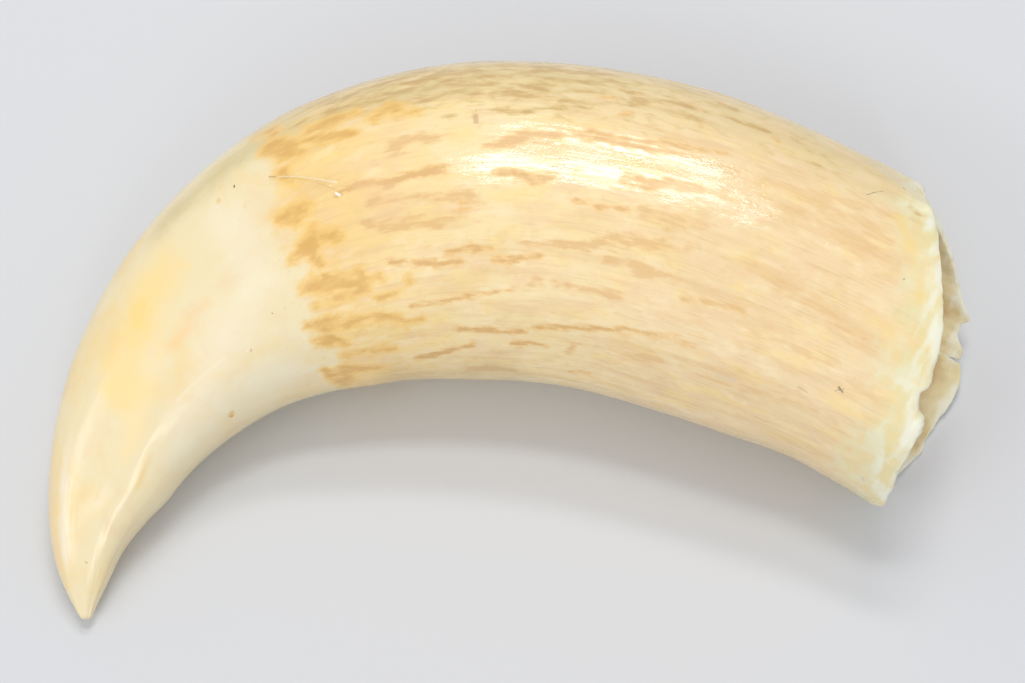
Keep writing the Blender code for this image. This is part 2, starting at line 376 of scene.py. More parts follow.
STROKES: dict[Stain, tuple[Triples, ...]] = {
    Stain.BOLD_STREAK: (
        ((77, 77.5, 0.3), (74.5, 77, 0.7), (72.5, 75.5, 1.2), (70, 73, 0.7), (67, 72.5, 0.6)),
        ((67, 72.5, 0.6), (64, 71.5, 0.6), (60, 71.2, 0.6),
         (56, 71.8, 0.5), (52, 71, 0.4), (47, 70.5, 0.3)),
        ((61, 69, 0.3), (57, 69.8, 0.3), (54, 69, 0.3), (51, 68, 0.4),
         (48, 67, 0.5), (45, 66.3, 0.5), (40, 64, 0.25)),
        ((75, 87, 0.35), (72, 86.3, 0.7), (70.5, 87.5, 0.8), (67, 88, 0.7), (65.5, 87, 0.5)),
        ((54.5, 83, 0.4), (52, 83, 0.6), (49, 83, 0.7), (47, 81.5, 0.6), (42, 80.5, 0.5), (36, 79.5, 0.35)),
        ((101, 84, 0.5), (97, 84, 0.5), (93, 86, 0.6), (88, 85, 0.45), (83, 84.5, 0.35)),
        ((81, 95.5, 0.25), (79.5, 95.5, 0.25)),
        ((62, 92.5, 0.3), (57, 92.3, 0.4), (52, 92, 0.3)),
        ((95, 111, 0.4), (92, 112, 0.45), (89, 113, 0.5), (85, 114, 0.6), (81, 114, 0.35)),
        ((84, 111, 0.3), (81, 109.5, 0.5), (78, 109, 0.6), (75.5, 109.5, 0.35)),
        ((75, 114, 0.3), (72, 113.5, 0.4), (69, 112.5, 0.35), (66, 111.5, 0.3)),
        ((93, 130, 0.05), (88, 128.7, 0.15), (84, 128.5, 0.32),
         (80, 127, 0.32), (76, 126, 0.22), (71, 124.5, 0.05)),
        ((84, 141.5, 0.3), (80, 142.5, 0.6), (76, 142.5, 0.5), (72, 143.2, 0.4), (68, 142, 0.3)),
        ((66, 139.5, 0.25), (60, 138, 0.35), (54, 136, 0.4), (50, 134, 0.4),
         (46, 132, 0.45), (40, 130.5, 0.35), (34, 130, 0.25)),
        ((71, 149, 0.5), (69, 148.5, 0.6), (66, 147.5, 0.5), (63, 149, 0.3)),
        ((95, 158, 0.6), (91, 157.3, 0.9), (86, 154, 0.6), (82, 151.5, 0.5), (80, 150.5, 0.4)),
        ((39, 114.5, 0.3), (36, 113.5, 0.5), (33, 112.3, 0.5), (28, 110.5, 0.3)),
        ((57, 163, 0.5), (55, 162, 0.5), (53, 161.5, 0.4)),
        ((60.5, 52, 0.3), (58.5, 50, 0.4)),
        ((57.4, 60, 0.2), (55.8, 57, 0.35)),
        ((34.3, 47, 0.3), (33.6, 48.5, 0.3)),
    ),
    Stain.SOFT_STREAK: (
        ((70, 107.5, 0.5), (64, 107, 0.8), (58, 105.5, 0.9),
         (53, 101.5, 1.0), (47, 100, 1.0), (40, 98.5, 0.6)),
        ((54, 109, 0.7), (50, 108, 0.9), (47, 110, 1.3), (43, 109.5, 0.9), (39, 109, 0.5)),
        ((46, 69.5, 0.5), (38, 69.5, 0.7), (32, 68.8, 0.9), (24, 68, 1.0), (17, 68.5, 1.2), (11, 69, 0.8)),
        ((32, 75, 0.6), (27, 76, 0.9), (20, 76, 1.5), (15, 76, 1.5), (10, 76, 0.9)),
        ((36, 79.5, 0.5), (30, 80, 0.5), (24, 79.3, 0.5), (18, 79, 0.3)),
        ((26, 66, 0.6), (22, 64, 0.9), (18, 61, 1.0), (13, 60, 0.6)),
        ((91, 73.5, 1.0), (87, 72, 1.1), (84, 73, 0.7)),
        ((96, 90, 0.6), (90, 91, 0.5), (85, 91.5, 0.5), (78, 93, 0.7)),
        ((50, 91.5, 0.5), (45, 91.5, 0.8), (39, 91, 0.5)),
        ((32, 142, 0.5), (28, 142, 0.8), (24, 141, 0.8), (18, 139.5, 0.6), (10, 137, 0.5)),
        ((46, 144, 0.8), (42, 142, 1.3), (39, 141, 0.8)),
        ((82, 169, 1.2), (77, 168, 1.6), (71, 170, 1.2)),
        ((67, 120.5, 0.6), (65.5, 120, 0.7)),
        ((62.5, 121, 0.6), (58, 121, 0.7), (53, 120.5, 0.9), (50, 120.5, 0.6)),
        ((57, 145, 0.8), (58, 150, 0.8)),
        ((98, 96, 0.5), (94, 99, 0.8), (86, 99.5, 0.9), (80, 98, 0.5)),
        ((30, 96, 0.5), (24, 98, 0.9), (14, 100, 0.7), (8, 103, 0.4)),
        ((26, 117, 0.5), (20, 116, 0.9), (12, 117, 0.7)),
    ),
    Stain.FRINGE: (
        ((112, 96.5, 0.9), (109, 96.5, 1.5), (106.5, 94.5, 1.5), (103.5, 96.5, 0.9)),
        ((109, 97, 1.2), (108.5, 101, 1.1), (107.5, 104.5, 0.6)),
        ((113, 110.5, 0.7), (110, 110.5, 1.7), (106, 113, 1.8), (102, 114.5, 1.6), (98, 116, 0.7)),
        ((109, 119, 0.5), (105, 119, 0.7), (100.5, 118.5, 0.6)),
        ((112, 119.7, 0.6),),
        ((92.3, 119.7, 0.55),),
        ((99, 124, 0.4), (96, 123.5, 0.5), (94.5, 123, 0.3)),
        ((115, 127.5, 1.1), (111.5, 129, 1.8), (108, 130.5, 1.2), (104, 131, 0.9), (100, 132.5, 0.9)),
        ((100, 132.5, 0.9), (97.5, 134, 1.0), (95, 137, 0.9), (91.5, 136, 0.5)),
        ((116, 136, 1.0), (113, 137, 1.7), (111, 138.5, 1.1), (110, 141.5, 0.8)),
        ((112, 147, 0.4), (108, 148.5, 0.5), (104, 149.5, 0.6), (99.5, 149.5, 0.4)),
        ((117.5, 157, 1.4), (116, 162, 2.4), (114.5, 167, 2.6), (115, 174, 2.0)),
        ((113, 159, 2.0), (109, 161, 1.2), (104, 163, 0.8)),
        ((111.5, 85, 1.0), (109, 85.5, 1.6), (106.5, 84.5, 1.0)),
        ((108, 50.5, 1.8), (106.5, 54, 2.2), (106, 58, 2.0), (104.5, 62, 1.1)),
        ((108, 66.5, 0.9), (107.5, 71, 0.7), (107, 74, 0.5)),
        ((102, 51.5, 1.2), (99, 53, 1.6), (96, 52, 0.9)),
        ((103.5, 57, 0.8), (99, 61, 1.2), (96, 63, 0.6)),
        ((93, 58, 0.8), (90.5, 56, 1.2), (87.5, 60, 0.8)),
        ((109, 35, 0.8), (107.5, 38, 1.0), (107.2, 43, 0.8)),
        ((61.5, 84, 0.45),),
    ),
    Stain.OLIVE: (
        ((62, 49, 0.8), (58, 49, 1.3), (54, 48, 1.3), (49, 46, 1.2), (44, 45.3, 1.1), (36, 45, 0.9)),
        ((46, 40, 1.2), (43.5, 38.5, 2.2), (40, 37, 1.6)),
        ((96, 43, 0.8), (91, 44, 1.4), (88, 47, 1.4), (86, 48, 0.8)),
        ((86, 43, 0.9), (84, 47, 1.2), (82.5, 51, 1.3), (80, 52.5, 0.9)),
        ((79.5, 50, 0.8), (77, 53, 1.0), (76, 57, 0.8)),
        ((73, 38, 0.9), (71.5, 43, 1.3), (69, 42, 0.9)),
        ((75, 61, 1.1), (73, 64, 1.3), (70, 62, 0.8), (66, 60, 1.0), (62, 59, 1.0)),
        ((83, 64.5, 0.7), (81, 64, 0.8)),
        ((78.5, 66, 0.7), (77.5, 68.5, 0.4)),
        ((63, 47, 1.0), (60, 50, 0.8)),
        ((28.5, 52.5, 0.6), (27, 52, 1.2), (25.5, 52, 1.3), (24, 51.5, 1.0), (22.7, 50.8, 0.7)),
        ((32, 38.5, 0.6), (31.7, 41, 1.1), (30.5, 43, 1.4), (29, 44, 1.1), (24, 44, 0.7)),
    ),
}


@dataclass(frozen=True)
class StainPlan:
    """All stains of the tooth: the strokes of its upper side, and like ones strewn on its other sides."""

    strokes: dict[Stain, tuple[Triples, ...]] = field(default_factory=lambda: STROKES)
    strewn: dict[Stain, int] = field(
        default_factory=lambda: {
            Stain.BOLD_STREAK: 26, Stain.SOFT_STREAK: 22, Stain.FRINGE: 20, Stain.OLIVE: 16
        }
    )
    unseen_round: Pair = (186.0, 385.0)
    streaked_along: Pair = (8.0, 102.0)
    fringe_along: Pair = (105.0, 116.0)
    seed: int = 12
    short_step: Pair = (1.2, 2.2)
    long_step: Pair = (3.0, 5.0)
    short_width: Pair = (0.6, 1.3)
    long_width: Pair = (0.3, 0.7)
    tapers: tuple[float, ...] = (0.5, 0.9, 1.0, 0.8, 0.4)
    wander: float = 1.2

    def all_strokes(self) -> dict[Stain, list[Stroke]]:
        """Puts the listed strokes and the strewn ones together.

        Returns:
            All strokes, under their kinds.
        """
        draw = np.random.default_rng(self.seed)
        plan = {kind: [Stroke(points) for points in rows] for kind, rows in self.strokes.items()}
        for kind, count in self.strewn.items():
            plan[kind].extend(self.strewn_stroke(kind, draw) for _ in range(count))
        return plan

    def strewn_stroke(self, kind: Stain, draw: np.random.Generator) -> Stroke:
        """One stroke at a random place of the sides that the listed strokes leave out.

        Args:
            kind: Kind of stain. Fringe patches lie near the edge of the crown and are short.
            draw: Source of the random numbers.

        Returns:
            The stroke, which wanders a little as it runs towards the root.
        """
        short = kind in (Stain.FRINGE, Stain.OLIVE)
        low, high = self.fringe_along if kind is Stain.FRINGE else self.streaked_along
        along, round_ = draw.uniform(low, high), draw.uniform(*self.unseen_round)
        step = draw.uniform(*(self.short_step if short else self.long_step))
        width = draw.uniform(*(self.short_width if short else self.long_width))
        points = []
        for taper in self.tapers:
            points.append((along, round_, width * taper))
            along -= step
            round_ += draw.normal(0.0, self.wander)
        return Stroke(tuple(points))


@dataclass(frozen=True)
class CrownEdge:
    """Ragged edge where the root's coat ends and the smooth crown begins: (round, along)."""

    places: Pairs = (
        (0, 110.0), (20, 111.5), (40, 110.0), (50, 109.8), (60, 109.0), (66, 109.8), (74, 110.0),
        (80, 111.5), (86, 112.0), (89, 110.0), (93, 110.0), (97, 111.8), (101, 109.5), (105, 109.2),
        (108, 112.0), (113, 113.2), (117, 112.6), (120, 113.2), (123, 111.5), (127, 114.8), (132, 113.2),
        (134, 113.4), (136.5, 116.2), (140, 114.0), (143, 112.0), (148, 113.2), (152, 113.8), (155, 117.6),
        (160, 118.6), (170, 118.6), (178, 118.0), (190, 116.0), (202, 118.5), (214, 114.5), (225, 116.0),
        (236, 112.5), (248, 114.0), (256, 110.5), (268, 112.5), (280, 108.5), (292, 111.0), (305, 108.0),
        (318, 111.5), (332, 108.5), (346, 111.0), (360, 110.0),
    )
    step_height: float = 0.10
    step_length: float = 1.2

    def distance(self, along: Array, round_: Array) -> Array:
        """How far each place lies on the crown's side of the edge, below 0 on the root's side."""
        degrees, edge = np.array(self.places, float).T
        return along - np.interp(round_ % 360, degrees, edge)


@dataclass(frozen=True)
class Mark:
    """One small mark from one (along, round) place to another: mostly a pit, speck or scratch of its own,
    but a few are painted shadow or painted highlight, as noted at each.
    """

    start: Pair
    end: Pair
    half_width: float
    tone: Tone
    share: float = 0.9
    depth: float = 0.0


MARKS = (
    Mark((115.1, 59.0), (115.2, 60.0), 0.16, (96, 86, 70)),
    Mark((118.1, 60.1), (118.2, 61.5), 0.45, (236, 196, 130), 0.6),
    Mark((120.5, 113.2), (120.5, 113.4), 0.18, (168, 140, 100), 0.7),
    Mark((128.3, 123.2), (128.6, 124.2), 0.24, (216, 166, 106), 0.65),
    Mark((128.9, 122.4), (129.3, 122.8), 0.22, (255, 246, 228), 0.6),
    Mark((141.2, 155.4), (141.5, 158.8), 1.05, (232, 194, 116), 0.8, 0.05),
    Mark((141.5, 158.2), (141.6, 159.4), 0.30, (196, 142, 72), 0.7, 0.06),
    Mark((179.0, 93.5), (179.1, 97.5), 0.20, (208, 178, 138), 0.7),
    Mark((6.3, 80.2), (6.4, 80.5), 0.18, (140, 120, 82), 0.5),
    Mark((8.1, 123.4), (7.2, 124.6), 0.24, (116, 108, 78), 0.75),
    Mark((7.3, 123.2), (8.4, 125.4), 0.12, (150, 136, 100), 0.5),
    Mark((14.2, 130.2), (12.4, 131.0), 0.14, (186, 170, 132), 0.6),
    Mark((17.6, 54.5), (16.6, 51.0), 0.10, (128, 112, 84), 0.75),
    Mark((16.6, 51.0), (15.5, 48.0), 0.08, (140, 122, 92), 0.65),
    Mark((12.9, 37.6), (12.7, 38.6), 0.30, (190, 152, 110), 0.7),
    Mark((109.9, 65.8), (109.2, 67.0), 0.26, (184, 140, 84), 0.65),
    # Painted shadow: a thin brown line under the lifted flake's lip
    Mark((107.5, 70.5), (101.2, 82.6), 0.20, (214, 170, 110), 0.4),
    # Painted highlight: the white glint of a small chip beside the flake
    Mark((101.1, 84.2), (100.7, 85.2), 0.28, (252, 250, 244), 0.85),
    Mark((108.5, 68.0), (100.6, 80.4), 0.26, (252, 236, 200), 0.7, -0.05),
    Mark((78.2, 65.4), (78.1, 68.0), 0.50, (196, 156, 112), 0.6),
    Mark((78.2, 62.0), (77.2, 88.0), 0.22, (222, 186, 140), 0.45),
    Mark((145.6, 116.0), (133.8, 118.0), 0.70, (250, 238, 210), 0.35),
    Mark((27.8, 139.4), (24.8, 138.6), 0.80, (226, 204, 178), 0.5),
    Mark((-2.0, 161.5), (-2.4, 163.0), 0.40, (222, 196, 186), 0.7),
)

# Soft clouds of one tone each, which are marks with wide, uneven edges. Most are the tooth's own tone; two
# are painted shade and one is painted light, as noted at each.
BLOTCHES = (
    Mark((132.0, 66.0), (139.0, 76.0), 5.0, (252, 219, 136), 0.65),
    Mark((139.0, 76.0), (147.0, 86.0), 5.0, (253, 217, 132), 0.65),
    Mark((144.0, 70.0), (148.0, 80.0), 3.6, (253, 219, 140), 0.45),
    Mark((148.0, 93.0), (157.0, 106.0), 3.2, (251, 225, 164), 0.55),
    Mark((159.0, 124.0), (163.0, 129.0), 1.9, (240, 208, 138), 0.65),
    Mark((138.0, 94.5), (134.5, 94.0), 1.6, (246, 206, 144), 0.75),
    Mark((133.0, 91.5), (129.0, 92.5), 1.2, (244, 208, 156), 0.6),
    Mark((146.0, 110.0), (136.0, 110.0), 1.8, (246, 216, 164), 0.45),
    Mark((153.0, 146.0), (124.0, 146.0), 8.0, (244, 235, 208), 0.7),
    Mark((131.0, 109.0), (143.0, 127.0), 6.5, (247, 236, 210), 0.6),
    Mark((117.5, 73.0), (119.5, 95.0), 4.0, (243, 234, 206), 0.65),
    # Painted shade on the crown's outer edge, where it turns away from the light, with a greenish tint
    Mark((126.0, 42.0), (112.0, 44.0), 3.6, (206, 190, 136), 0.62),
    Mark((89.0, 48.5), (80.0, 50.5), 1.7, (214, 194, 142), 0.5),
    Mark((163.0, 62.0), (178.0, 66.0), 3.0, (247, 234, 212), 0.8),
    Mark((164.0, 34.0), (180.0, 44.0), 2.4, (246, 216, 180), 0.6),
    Mark((170.0, 89.0), (168.0, 100.0), 2.6, (251, 238, 206), 0.70),
    Mark((97.0, 84.5), (92.0, 91.0), 1.9, (238, 198, 152), 0.35),
    # Painted shade along the root's inner curve, mixed with its somewhat browner tone there
    Mark((101.0, 174.0), (74.0, 170.0), 5.0, (202, 168, 110), 0.5),
    Mark((11.5, 57.0), (7.6, 67.0), 1.1, (242, 212, 136), 0.65),
    Mark((7.6, 67.0), (2.6, 84.0), 1.0, (243, 215, 146), 0.55),
    Mark((12.6, 37.0), (12.3, 46.0), 0.9, (234, 206, 142), 0.5),
    # Painted light: the bevel's own pale tone pushed to near white, so that its face looks lit
    Mark((6.0, 24.0), (8.0, 44.0), 3.0, (255, 252, 220), 0.85),
    Mark((5.0, 95.0), (2.0, 104.0), 1.2, (242, 214, 150), 0.5),
    Mark((5.0, 69.0), (3.0, 76.0), 1.2, (240, 236, 206), 0.45),
    Mark((-4.4, 108.0), (-6.2, 138.0), 1.5, (228, 225, 200), 0.5),
    Mark((1.5, 58.0), (-1.0, 78.0), 1.3, (236, 232, 196), 0.6),
)


@dataclass(frozen=True)
class Splinter:
    """A thin flake that has lifted beside the crown's edge: a groove with a raised lip."""

    start: Pair = (109.8, 65.6)
    end: Pair = (100.2, 80.6)
    half_width: float = 0.9
    depth: float = 0.40
    lip_height: float = 0.42
    root_end: Pair = (-0.03, 0.10)
    crown_end: Pair = (1.03, 0.80)

    def relief(self, along: Array, round_: Array, arc: Array) -> Array:
        """Height of the flake's groove and lip.

        Args:
            along: Distances from the root.
            round_: Angles round the section.
            arc: Length of one degree round the section there.

        Returns:
            How far the skin rises, or sinks below 0.
        """
        x, y = along - self.start[0], (round_ - self.start[1]) * arc
        dx, dy = self.end[0] - self.start[0], (self.end[1] - self.start[1]) * arc
        run = np.hypot(dx, dy)
        t = (x * dx + y * dy) / run**2
        side = (x * dy - y * dx) / run
        within = eased(t, *self.root_end) * eased(t, *self.crown_end)
        groove = eased(np.abs(side), self.half_width, 0.0) * self.depth
        lip = eased(np.abs(side - self.half_width), self.half_width, 0.0) * self.lip_height
        return (lip - groove) * within


@dataclass(frozen=True)
class CrownFacets:
    """The worn ridge that runs to the tip, and the flat facet beside it."""

    ridge: Stroke = Stroke(
        ((149, 115, 0.5), (157, 117, 2.6), (162, 118, 3.4), (171, 121, 3.0), (182, 124, 1.6)), 3.1
    )
    facet: Stroke = Stroke(
        ((142, 90, 0.5), (154, 96, 3.6), (165, 100, 3.8), (176, 104, 3.0), (184, 108, 1.2)), 3.6
    )
    ridge_height: float = 0.10
    facet_depth: float = 0.06

    def relief(self, along: Array, round_: Array, arc: Array) -> Array:
        """Height of the ridge and the facet.

        Args:
            along: Distances from the root.
            round_: Angles round the section.
            arc: Length of one degree round the section there.

        Returns:
            How far the skin rises, or sinks below 0.
        """
        height = eased(self.ridge.strength(along, round_, arc), 0.0, 1.0) * self.ridge_height
        return height - eased(self.facet.strength(along, round_, arc), 0.0, 1.0) * self.facet_depth


@dataclass(frozen=True)
class Relief:
    """Small shapes that polishing has left on the skin, as heights and ripple sizes."""

    swell_size: Triple = (26.0, 14.0, 14.0)
    swell_height: float = 0.16
    dimple_size: Triple = (7.0, 4.0, 4.0)
    dimple_height: float = 0.065
    fibre_size: Triple = (24.0, 1.6, 1.6)
    fibre_height: float = 0.030
    crown_share: float = 0.45
    streak_depth: float = 0.05
    fringe_depth: float = 0.05


@dataclass
class ToothShape:
    """The whole tooth as one skin: cavity, rounded broken rim, outer skin and tip."""

    centre_line: CentreLine = CentreLine()
    section: CrossSection = CrossSection()
    rim: BrokenRim = BrokenRim()
    cavity: PulpCavity = PulpCavity()
    crown_edge: CrownEdge = CrownEdge()
    splinter: Splinter = Splinter()
    facets: CrownFacets = CrownFacets()
    relief: Relief = Relief()
    stains: StainPlan = field(default_factory=StainPlan)
    sides: int = 360
    rim_rings: int = 9
    outer_rings: tuple[tuple[float, int], ...] = (
        (12.0, 22), (92.0, 72), (122.0, 50), (178.0, 51), (187.1, 18)
    )
    tip_ring_shares: tuple[float, ...] = (0.9, 0.75, 0.6, 0.45, 0.3, 0.18, 0.08, 0.03)
    rest_roll: float = 14.0
    rest_axis_heading: float = -13.2
    rest_flat_depth: float = 0.3

    def rings(self) -> tuple[Array, Array, Array]:
        """Lists the rings from the cavity's deepest point over the rim to the tip.

        Returns:
            For each ring its distance from the rim, its inset under the outer skin, and its share of
            the full width.
        """
        rim = self.rim
        deep = self.cavity.depths(rim.rounding * 2)
        arc = np.linspace(0.0, math.pi, self.rim_rings)
        power = 2 / rim.edge_fullness
        rise = np.abs(np.sin(arc)) ** power
        spread = np.sign(np.cos(arc)) * np.abs(np.cos(arc)) ** power
        edge_from = rim.rounding * (1 - rise)
        edge_inset = rim.wall / 2 * (1 + spread)
        outer, start = [], rim.rounding
        for end, count in self.outer_rings:
            outer.extend(np.linspace(start, end, count, endpoint=False)[0 if outer else 1 :])
            start = end
        outer.append(start)
        outer.extend(self.centre_line.length - self.section.tip_radius * s for s in self.tip_ring_shares)
        from_rim = np.concatenate([deep, edge_from, outer])
        inset = np.concatenate([np.full(len(deep), rim.wall), edge_inset, np.zeros(len(outer))])
        share = np.concatenate([self.cavity.share(deep), np.ones(len(edge_from) + len(outer))])
        return from_rim, inset, share

    def skin(self, along: Array, round_: Array, inset: Array) -> tuple[Array, Array]:
        """Points of the skin and the centre of the section at each.

        Args:
            along: Distances from the root.
            round_: Angles round the section.
            inset: How far inside the skin the points lie.

        Returns:
            Points and centres, in the plane of the tooth's curve.
        """
        x, y, heading = self.centre_line.places(along)
        across, up = self.section.oval(along, np.radians(round_), self.centre_line.length, inset)
        points = np.stack([x + across * np.sin(heading), y - across * np.cos(heading), up], -1)
        return points, np.stack([x, y, np.zeros_like(x)], -1)

    def bevelled(self, points: Array) -> Array:
        """Moves what stands past the ground bevel's plane onto it.

        Args:
            points: Points of the skin.

        Returns:
            The points with the bevel.
        """
        rim = self.rim
        round_ = np.array([rim.bevel_angle])
        corner, centre = self.skin(-rim.run_at(round_), round_, np.zeros(1))
        outward = (corner - centre)[0]
        outward /= np.linalg.norm(outward)
        heading = math.radians(self.centre_line.root_heading)
        rootward = np.array([-math.cos(heading), -math.sin(heading), 0.0])
        slope = math.radians(rim.bevel_slope)
        normal = outward * math.cos(slope) + rootward * math.sin(slope)
        past = (points - corner[0]) @ normal + rim.bevel_depth
        return points - np.clip(past, 0.0, None)[..., None] * normal

    def laid_down(self, points: Array) -> Array:
        """Lays the tooth down: rolled onto its belly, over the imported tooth's place.

        Args:
            points: Points in the plane of the tooth's curve, in millimetres.

        Returns:
            The points as the tooth lies, in metres.
        """
        heading = math.radians(self.rest_axis_heading)
        axis = Vector((math.cos(heading), math.sin(heading), 0.0))
        turn = np.array(Matrix.Rotation(math.radians(self.rest_roll), 3, axis))
        points = points @ turn.T
        low, high = (np.array(corner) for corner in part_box("tooth"))
        middle = (points[:, :2].min(axis=0) + points[:, :2].max(axis=0)) / 2
        points[:, :2] += (low + high)[:2] / (2 * METRES) - middle
        points[:, 2] -= points[:, 2].min() + self.rest_flat_depth - low[2] / METRES
        return points * METRES

    def faces(self, ring_count: int) -> list[tuple[int, ...]]:
        """Faces that join each ring to the next and close both ends on a point.

        Args:
            ring_count: Number of rings.

        Returns:
            Corner numbers of each face. Point 0 closes the first ring, and the last point the last ring.
        """
        i = np.arange(self.sides)
        j = (i + 1) % self.sides
        starts = 1 + np.arange(ring_count - 1)[:, None] * self.sides
        quads = np.stack([starts + i, starts + i + self.sides, starts + j + self.sides, starts + j], -1)
        last = 1 + (ring_count - 1) * self.sides
        end = last + self.sides
        first_fan = np.stack([np.zeros_like(i), 1 + i, 1 + j], -1)
        last_fan = np.stack([np.full_like(i, end), last + j, last + i], -1)
        return [*quads.reshape(-1, 4).tolist(), *first_fan.tolist(), *last_fan.tolist()]

    def build(self, name: str) -> bpy.types.Mesh:
        """Builds the tooth's mesh with its relief and the attributes that its finish reads.

        Args:
            name: Name of the mesh.

        Returns:
            The mesh, in metres, as the tooth lies.
        """
        from_rim, inset, share = self.rings()
        round_ = np.linspace(0.0, 360.0, self.sides, endpoint=False)[None, :]
        along = self.rim.along(from_rim[:, None], round_, ROOT_RADIUS)
        wide_round = np.broadcast_to(round_, along.shape)
        points, centres = self.skin(along, wide_round, inset[:, None])
        points = centres + (points - centres) * share[:, None, None]
        outside = inset < self.rim.wall / 2
        points[outside] = self.bevelled(points[outside])
        tip, _ = self.skin(np.array([self.centre_line.length]), np.zeros(1), np.zeros(1))
        flat = np.concatenate([points[0].mean(axis=0)[None], points.reshape(-1, 3), tip])
        mesh = bpy.data.meshes.new(name)
        mesh.from_pydata(self.laid_down(flat), [], self.faces(len(from_rim)))
        mesh.shade_smooth()
        self.finish_skin(
            mesh,
            self.with_ends(along, along[0].mean(), self.centre_line.length),
            self.with_ends(wide_round, 0.0, 0.0),
            self.with_ends(np.broadcast_to(from_rim[:, None], along.shape), from_rim[0], from_rim[-1]),
            self.with_ends(np.broadcast_to(inset[:, None] / self.rim.wall, along.shape), 1.0, 0.0),
        )
        return mesh

    @staticmethod
    def with_ends(values: Array, first: float, last: float) -> Array:
        """The rings' values as one row, between those of the two end points."""
        return np.concatenate([[first], values.ravel(), [last]])

    def finish_skin(
        self, mesh: bpy.types.Mesh, along: Array, round_: Array, from_rim: Array, inside: Array
    ) -> None:
        """Adds the relief to the bare mesh and stores what the finish reads.

        Args:
            mesh: The mesh without relief.
            along: Distance from the root of each point.
            round_: Angle of each point.
            from_rim: Distance from the rim of each point.
            inside: 1 on the cavity's wall, 0 on the outer skin, and between them over the rim.
        """
        arc = np.radians(np.maximum(self.section.half_widths(along, self.centre_line.length), 1.0))
        turn = np.radians(round_)
        grain = np.stack([along, np.cos(turn) * ROOT_RADIUS, np.sin(turn) * ROOT_RADIUS], -1)
        edge = self.crown_edge.distance(along, round_)
        outer = inside < 0.5
        strongest = {
            kind: np.max([stroke.strength(along, round_, arc) for stroke in strokes], axis=0)
            for kind, strokes in self.stains.all_strokes().items()
        }
        stains = {kind: np.where(outer, strength, STROKE_FLOOR) for kind, strength in strongest.items()}
        height = self.heights(grain, edge, from_rim, inside, stains)
        height += self.splinter.relief(along, round_, arc) * outer
        height += self.facets.relief(along, round_, arc)
        points = np.empty(len(mesh.vertices) * 3, np.float32)
        mesh.vertices.foreach_get("co", points)
        normals = np.array([normal.vector for normal in mesh.vertex_normals])
        raised = points.reshape(-1, 3) + normals * (height * METRES)[:, None]
        raised[:, 2] = np.maximum(raised[:, 2], 0.0)
        mesh.vertices.foreach_set("co", raised.astype(np.float32).ravel())
        self.store(mesh, "grain", grain)
        self.store(mesh, "crown", edge)
        self.store(mesh, "from_rim", from_rim)
        self.store(mesh, "inside", inside)
        for kind, strength in stains.items():
            self.store(mesh, kind.value, strength)
        mesh.update()

    def heights(
        self,
        grain: Array,
        edge: Array,
        from_rim: Array,
        inside: Array,
        stains: dict[Stain, Array],
    ) -> Array:
        """Height of the relief at each point.

        Args:
            grain: The points on a straightened tooth.
            edge: Distance on the crown's side of the crown's edge.
            from_rim: Distance from the rim.
            inside: 1 on the cavity's wall and 0 on the outer skin.
            stains: Strength of each kind of stain.

        Returns:
            How far each point rises along its normal, or sinks below 0.
        """
        relief, cavity = self.relief, self.cavity
        on_crown = eased(edge, -self.crown_edge.step_length / 2, self.crown_edge.step_length / 2)
        coat = 1 - on_crown * (1 - relief.crown_share)
        outer = rippled(grain, relief.swell_size) * relief.swell_height
        outer += rippled(grain, relief.dimple_size, 2) * relief.dimple_height * coat
        outer += rippled(grain, relief.fibre_size, 2) * relief.fibre_height * (1 - on_crown)
        outer -= np.clip(stains[Stain.BOLD_STREAK], 0.0, 1.0) * relief.streak_depth
        outer -= np.clip(stains[Stain.FRINGE], 0.0, 1.0) * relief.fringe_depth
        outer -= on_crown * self.crown_edge.step_height
        outer -= eased(from_rim, self.rim.worn_length, 0.0) * self.rim.worn_depth
        hollow = rippled(grain, cavity.lump_size, 2) * cavity.lump_height
        hollow += rippled(grain, cavity.grain_size, 2) * cavity.grain_height
        return outer * (1 - inside) + hollow * inside

    @staticmethod
    def store(mesh: bpy.types.Mesh, name: str, values: Array) -> None:
        """Keeps one value or vector a point under a name.

        Args:
            mesh: Mesh that holds the attribute.
            name: Name that the finish reads.
            values: One number, or one vector, for each point.
        """
        vector = values.ndim == 2
        attribute = mesh.attributes.new(name, "FLOAT_VECTOR" if vector else "FLOAT", "POINT")
        attribute.data.foreach_set("vector" if vector else "value", values.astype(np.float32).ravel())


def tint(red: float, green: float, blue: float) -> tuple[float, float, float, float]:
    """Colour for a shader from the 0 to 255 values that a screen shows."""
    shares = (red / 255, green / 255, blue / 255)
    return (*(v / 12.92 if v <= 0.04045 else ((v + 0.055) / 1.055) ** 2.4 for v in shares), 1.0)


Socket = bpy.types.NodeSocket


